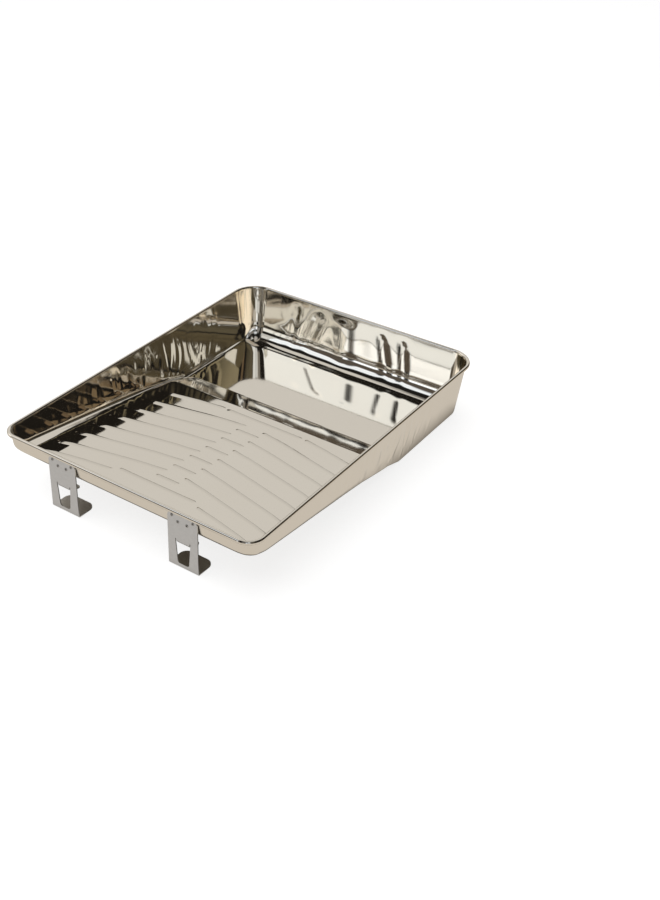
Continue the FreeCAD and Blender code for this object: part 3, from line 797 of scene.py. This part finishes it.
# Bright windows of the room that the metal mirrors. Angles are in degrees: compass angle (0 is +Y and
# 90 is +X) and height above the floor. Each window is low and high compass angle, low and high height,
# softness of the two, brightness, tint. The last one is the soft light overhead, all the way round.
SKY_DARK = (0.012, 0.011, 0.010)
WARM, COOL, OLIVE = (1.0, 0.98, 0.95), (0.98, 1.06, 1.18), (1.0, 0.90, 0.62)
ROSE, AMBER, BRONZE = (1.0, 0.85, 0.72), (1.0, 0.74, 0.45), (1.0, 0.72, 0.45)
SKY_WINDOWS = [
    (-96, 3, 6, 66, 5, 3, 0.62, WARM),
    (-124, -96, 4, 53, 3, 2, 0.75, WARM),
    (-138, -96, 8, 34, 3, 2, 0.35, WARM),
    (-158.7, -151.6, 3, 17.8, 1.4, 0.9, 1.15, COOL),
    (-149.5, -122, 36, 54, 2.5, 2, 0.95, COOL),
    (-168, -120, 14, 40, 3, 3, 0.08, ROSE),
    (150.5, 160, 6, 27, 2.2, 2, 1.0, COOL),
    (133, 150, 6, 22, 3, 3, 0.5, WARM),
    (134.3, 148, 27, 66, 1.2, 3, 0.75, COOL),
    (148, 164, 42, 57, 2, 2, 0.6, COOL),
    (160, 184, 12, 48, 4, 5, 0.2, WARM),
    (110, 134, 20, 42, 6, 4, 0.06, OLIVE),
    (84, 134, 42, 58, 8, 4, 0.09, OLIVE),
    (28, 48.2, -8, 17, 1.0, 0.8, 0.17, AMBER),
    (54, 68, 31, 43, 2, 3, 0.14, BRONZE),
    (25, 29.6, 30, 45, 0.8, 4, 0.26, OLIVE),
    (-200, 200, 74, 100, 1, 4, 0.42, WARM),
]
BACKDROP = (1.0, 1.0, 1.0, 1)

# lengths of the floor, the lamp and the camera are in metres
FLOOR_SIZE = 12
FLOOR_MIRRORED, FLOOR_PAINTED_SHADOW = (0.60, 0.56, 0.51, 1), (0.07, 0.06, 0.045, 1)
FLOOR_PALE, FLOOR_LIFT = (0.45, 0.45, 0.45, 1), 0.80
# the painted shadow under the tray, which the metal mirrors, fades between these distances outside its
# outline
SHADOW_END, SHADOW_FULL = 0.005, -0.02
LAMP_SIZE, LAMP_POWER = 2.4, 22
LAMP_PLACE, LAMP_AIM = (-0.3, -0.3, 1.9), (0, 0, 0.03)
CAMERA_PLACE, CAMERA_WAY = (0.6198, -0.8470, 0.6959), (-0.5028, 0.6724, -0.5432)
CAMERA_LENS = 49.9
CAMERA_SHIFT = (0.10, -0.022)
CAMERA_NEAR = 0.01


def build_sky():
    """The dark room with soft bright windows that the metal mirrors, behind a plain pale backdrop."""
    world = bpy.data.worlds.new("studio")
    bpy.context.scene.world = world
    world.use_nodes = True
    nodes = Nodes(world.node_tree)
    way = nodes.add("ShaderNodeSeparateXYZ")
    nodes.link(nodes.add("ShaderNodeTexCoord").outputs["Generated"], way.inputs[0])
    x, y, z = way.outputs
    angle = nodes.math("DEGREES", nodes.math("ARCTAN2", x, y))
    height = nodes.math("DEGREES", nodes.math("ARCSINE", z))

    def window(low, high, bottom, top, soft, soft_height):
        share = nodes.smooth(angle, low - soft, low + soft)
        for other in (nodes.smooth(angle, high + soft, high - soft),
                      nodes.smooth(height, bottom - soft_height, bottom + soft_height),
                      nodes.smooth(height, top + soft_height, top - soft_height)):
            share = nodes.math("MULTIPLY", share, other)
        return share

    total = SKY_DARK
    for *limits, brightness, tint in SKY_WINDOWS:
        lit = nodes.add("ShaderNodeVectorMath", operation="MULTIPLY_ADD")
        for index, value in enumerate((window(*limits), [brightness * part for part in tint], total)):
            nodes.feed(lit, index, value)
        total = lit.outputs[0]
    seen = nodes.add("ShaderNodeLightPath").outputs["Is Camera Ray"]
    room = nodes.add("ShaderNodeBackground")
    nodes.link(total, room.inputs["Color"])
    backdrop = nodes.add("ShaderNodeBackground")
    backdrop.inputs["Color"].default_value = BACKDROP
    blend = nodes.add("ShaderNodeMixShader")
    output = nodes.add("ShaderNodeOutputWorld")
    nodes.link(seen, blend.inputs[0])
    nodes.link(room.outputs[0], blend.inputs[1])
    nodes.link(backdrop.outputs[0], blend.inputs[2])
    nodes.link(blend.outputs[0], output.inputs["Surface"])


def build_floor():
    """Plain pale floor: near white to the eye. The metal mirrors it warm grey, with a painted shadow under
    the tray.
    """
    bpy.ops.mesh.primitive_plane_add(size=FLOOR_SIZE)
    floor = bpy.context.object
    floor.name = "floor"
    material = bpy.data.materials.new("pale_floor")
    material.use_nodes = True
    nodes = Nodes(material.node_tree)
    matt = nodes.add("ShaderNodeEmission")
    spot = nodes.add("ShaderNodeSeparateXYZ")
    nodes.link(nodes.place(), spot.inputs[0])
    # painted shadow: the floor the metal mirrors turns dark within the tray's outline
    shade = 1.0
    for index, half in ((0, HALF_WIDTH * MM), (1, HALF_LENGTH * MM)):
        off = nodes.math("ABSOLUTE", spot.outputs[index])
        shade = nodes.math("MULTIPLY", shade, nodes.smooth(off, half + SHADOW_END, half + SHADOW_FULL))
    nodes.feed(matt, "Color", nodes.mix(shade, FLOOR_MIRRORED, FLOOR_PAINTED_SHADOW))
    pale = nodes.add("ShaderNodeBsdfDiffuse")
    pale.inputs["Color"].default_value = FLOOR_PALE
    lift = nodes.add("ShaderNodeEmission")
    lift.inputs["Strength"].default_value = FLOOR_LIFT
    lifted = nodes.add("ShaderNodeAddShader")
    blend = nodes.add("ShaderNodeMixShader")
    output = nodes.add("ShaderNodeOutputMaterial")
    seen = nodes.add("ShaderNodeLightPath").outputs["Is Camera Ray"]
    nodes.link(pale.outputs[0], lifted.inputs[0])
    nodes.link(lift.outputs[0], lifted.inputs[1])
    nodes.link(seen, blend.inputs[0])
    nodes.link(matt.outputs[0], blend.inputs[1])
    nodes.link(lifted.outputs[0], blend.inputs[2])
    nodes.link(blend.outputs[0], output.inputs["Surface"])
    floor.data.materials.append(material)


def build_key():
    """A large soft lamp overhead that lights the floor and the legs but isn't mirrored in the pan."""
    lamp = bpy.data.lights.new("overhead", "AREA")
    lamp.shape = "RECTANGLE"
    lamp.size, lamp.size_y = LAMP_SIZE, LAMP_SIZE
    lamp.energy = LAMP_POWER
    key = bpy.data.objects.new("overhead", lamp)
    key.location = LAMP_PLACE
    key.rotation_euler = (Vector(LAMP_AIM) - key.location).to_track_quat("-Z", "Y").to_euler()
    key.visible_glossy = False
    key.visible_camera = False
    bpy.context.scene.collection.objects.link(key)


def build_camera():
    camera = bpy.data.objects.new("camera", bpy.data.cameras.new("camera"))
    camera.location = CAMERA_PLACE
    camera.rotation_euler = Vector(CAMERA_WAY).to_track_quat("-Z", "Y").to_euler()
    camera.data.lens = CAMERA_LENS
    camera.data.shift_x, camera.data.shift_y = CAMERA_SHIFT
    camera.data.clip_start = CAMERA_NEAR
    bpy.context.scene.collection.objects.link(camera)
    bpy.context.scene.camera = camera


# ---------------------------------------------------------------- assembly


def take_material(obj, material):
    """Give an object one material in place of all it has."""
    obj.data.materials.clear()
    obj.data.materials.append(material)


def build_pieces():
    pan = pan_sheet()
    take_material(pan, metal("bright_tinplate", tinplate))
    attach(pan, "root")
    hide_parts("tray_pan")
    zinc = metal("galvanised_sheet", galvanised)
    steel = metal("rivet_steel", rivet_steel)
    for side in ("left", "right"):
        take_material(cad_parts[side + "_leg"], zinc)
        take_material(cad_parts[side + "_leg_rivets"], steel)


build_camera()
build_sky()
build_floor()
build_key()
build_pieces()
bpy.context.scene.view_settings.view_transform = "Standard"
